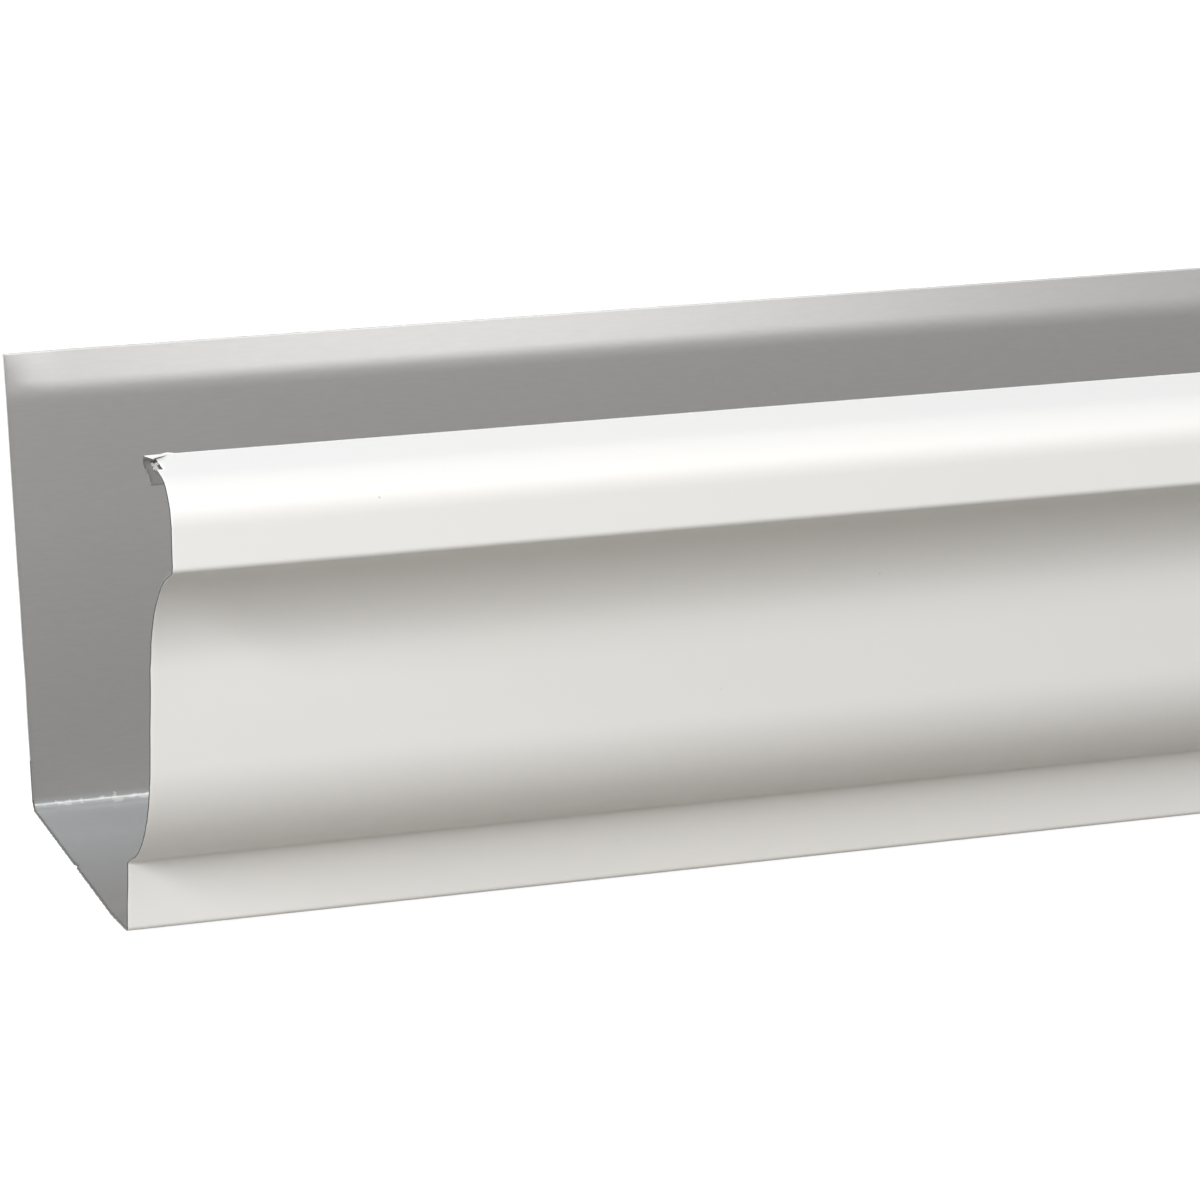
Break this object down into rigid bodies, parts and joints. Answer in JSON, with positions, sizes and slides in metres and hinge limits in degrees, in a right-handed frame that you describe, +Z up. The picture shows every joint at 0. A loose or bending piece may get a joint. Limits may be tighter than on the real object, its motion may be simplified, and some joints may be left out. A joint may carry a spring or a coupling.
{
  "type": "gutter section",
  "caption": "Straight length of roll-formed K-style eaves gutter: flat back wall with a flared lip, flat bottom, ogee front and a hemmed top ledge; open channel that carries roof water.",
  "frame": {"origin": "on the plane of the underside, in the middle of the stock length and of the overall depth", "axes": "+X along the gutter, +Y towards the fascia side (back wall), -Y towards the moulded front, +Z up"},
  "size_m": [3.048, 0.1404, 0.0964],
  "materials": {
    "painted_sheet": "white glossy coil-coated polyester outside, grey primer back coat inside, bare cut edges"
  },
  "bodies": {
    "root": {"gutter_section": "painted_sheet"}
  },
  "joints": []
}
